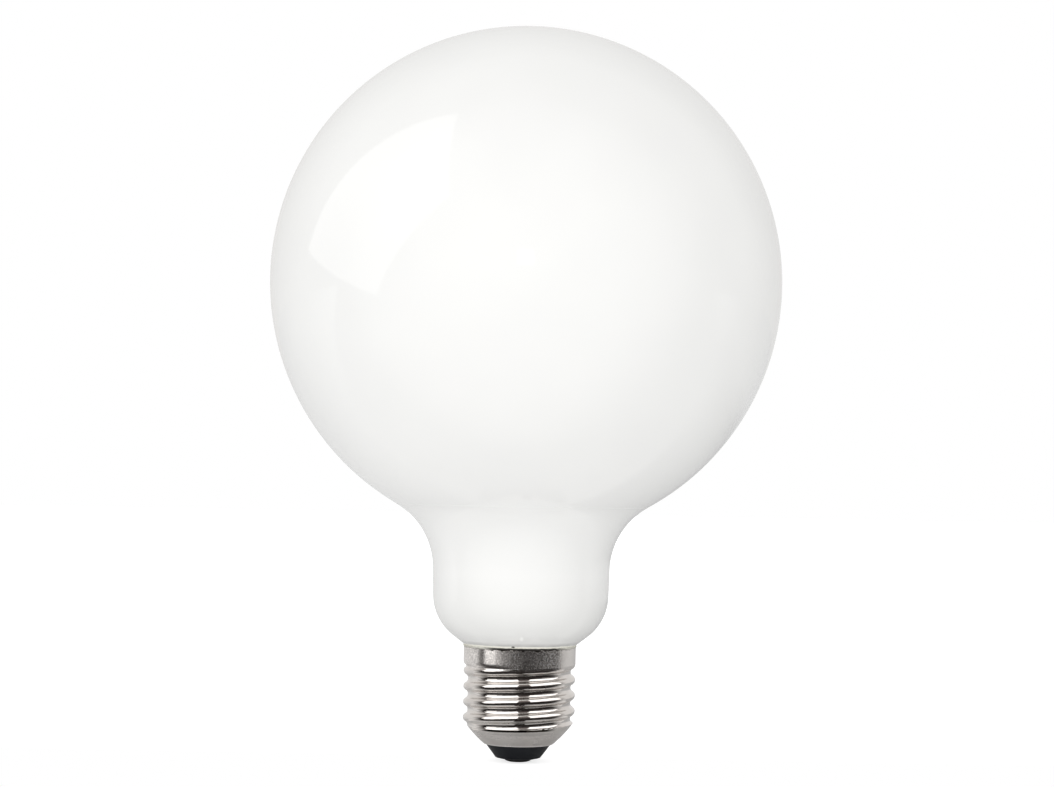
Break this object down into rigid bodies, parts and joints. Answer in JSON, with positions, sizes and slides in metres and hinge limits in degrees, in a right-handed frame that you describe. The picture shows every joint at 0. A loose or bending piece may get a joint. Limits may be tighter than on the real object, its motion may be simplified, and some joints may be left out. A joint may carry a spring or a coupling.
{
  "type": "globe bulb",
  "caption": "Large opal glass globe bulb with a short neck, a rolled screw cap, a dark insulator and a contact at its end; screws into a lampholder.",
  "frame": {"origin": "middle of the contact's flat end, on the lamp's axis", "axes": "+Z along the lamp's axis from the contact up through the globe; the thread's phase is set so that the picture's view looks along +Y"},
  "size_m": [0.12, 0.12, 0.172],
  "materials": {
    "opal_glass": "gloss, opal white",
    "capping_cement": "matte",
    "nickel_shell": "bright plated sheet",
    "black_insulator": "satin",
    "contact_metal": "dull, darkened"
  },
  "bodies": {
    "root": {"glass_globe": "opal_glass", "cement_ring": "capping_cement", "screw_shell": "nickel_shell", "base_insulator": "black_insulator", "centre_contact": "contact_metal"}
  },
  "joints": []
}
